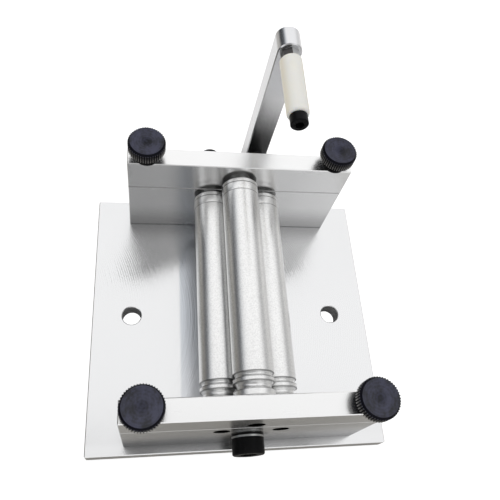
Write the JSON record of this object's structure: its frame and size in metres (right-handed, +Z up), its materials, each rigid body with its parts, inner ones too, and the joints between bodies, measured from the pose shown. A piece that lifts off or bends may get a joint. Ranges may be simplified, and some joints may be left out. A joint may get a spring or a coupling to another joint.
{
  "type": "slip roll machine",
  "caption": "Small bench slip roll: grooved rollers between split end blocks on a base plate, ribbed thumb knobs that set the gap, and a hand crank with a turning sleeve.",
  "frame": {"origin": "centre of the base plate's underside", "axes": "+X across the machine to the right as seen from the front, +Y along the rollers towards the crank, +Z up"},
  "size_m": [0.16, 0.1891, 0.1307],
  "materials": {
    "plate_aluminium": "fly-cut, bright",
    "block_aluminium": "fine milled, satin",
    "roller_aluminium": "turned, satin",
    "rod_aluminium": "turned",
    "crank_aluminium": "brushed",
    "knob_plastic": "black, satin",
    "stud_steel": "threaded",
    "black_steel": "black oxide",
    "zinc_steel": "zinc plated",
    "handle_nylon": "natural, smooth"
  },
  "bodies": {
    "frame": {"base_plate": "plate_aluminium", "front_lower_block": "block_aluminium", "rear_lower_block": "block_aluminium", "tie_rod": "rod_aluminium", "front_tie_screw": "black_steel", "rear_tie_screw": "black_steel", "front_tie_washer": "zinc_steel", "rear_tie_washer": "zinc_steel", "base_screws": "black_steel"},
    "upper_frame": {"front_cap": "block_aluminium", "rear_cap": "block_aluminium", "knob_washers": "black_steel"},
    "upper_roller": {"upper_roller": "roller_aluminium"},
    "left_roller": {"left_roller": "roller_aluminium", "left_axle_screw": "black_steel"},
    "drive_roller": {"drive_roller": "roller_aluminium", "crank_arm": "crank_aluminium", "crank_screw": "black_steel", "crank_washer": "zinc_steel", "handle_screw": "black_steel", "handle_nut": "zinc_steel"},
    "handle": {"handle_sleeve": "handle_nylon"},
    "front_left_knob": {"front_left_knob": "knob_plastic", "front_left_stud": "stud_steel"},
    "front_right_knob": {"front_right_knob": "knob_plastic", "front_right_stud": "stud_steel"},
    "rear_left_knob": {"rear_left_knob": "knob_plastic", "rear_left_stud": "stud_steel"},
    "rear_right_knob": {"rear_right_knob": "knob_plastic", "rear_right_stud": "stud_steel"}
  },
  "joints": [
    {"name": "gap_adjust", "type": "slide", "parent": "frame", "child": "upper_frame", "axis": [0, 0, 1], "range_m": [0, 0.003]},
    {"name": "front_left_knob_turn", "type": "hinge", "parent": "upper_frame", "child": "front_left_knob", "pos_m": [-0.051, -0.06525, 0.0741], "axis": [0, 0, 1], "range_deg": [0, 1080]},
    {"name": "front_right_knob_turn", "type": "hinge", "parent": "upper_frame", "child": "front_right_knob", "pos_m": [0.051, -0.06525, 0.0741], "axis": [0, 0, 1], "range_deg": [0, 1080]},
    {"name": "rear_left_knob_turn", "type": "hinge", "parent": "upper_frame", "child": "rear_left_knob", "pos_m": [-0.051, 0.06525, 0.0741], "axis": [0, 0, 1], "range_deg": [0, 1080]},
    {"name": "rear_right_knob_turn", "type": "hinge", "parent": "upper_frame", "child": "rear_right_knob", "pos_m": [0.051, 0.06525, 0.0741], "axis": [0, 0, 1], "range_deg": [0, 1080]},
    {"name": "upper_roller_spin", "type": "hinge", "parent": "upper_frame", "child": "upper_roller", "pos_m": [0, 0, 0.05746], "axis": [0, 1, 0], "continuous": true},
    {"name": "left_roller_spin", "type": "hinge", "parent": "frame", "child": "left_roller", "pos_m": [-0.01425, 0, 0.043], "axis": [0, 1, 0], "continuous": true},
    {"name": "crank_turn", "type": "hinge", "parent": "frame", "child": "drive_roller", "pos_m": [0.01425, 0, 0.043], "axis": [0, 1, 0], "range_deg": [-50, 115]},
    {"name": "handle_spin", "type": "hinge", "parent": "drive_roller", "child": "handle", "pos_m": [0.01653, 0, 0.12447], "axis": [0, 1, 0], "continuous": true}
  ],
  "couplings": [
    {"joint": "front_left_knob_turn", "follows": "gap_adjust", "rad_per_m": 6283.2},
    {"joint": "front_right_knob_turn", "follows": "gap_adjust", "rad_per_m": 6283.2},
    {"joint": "rear_left_knob_turn", "follows": "gap_adjust", "rad_per_m": 6283.2},
    {"joint": "rear_right_knob_turn", "follows": "gap_adjust", "rad_per_m": 6283.2}
  ]
}
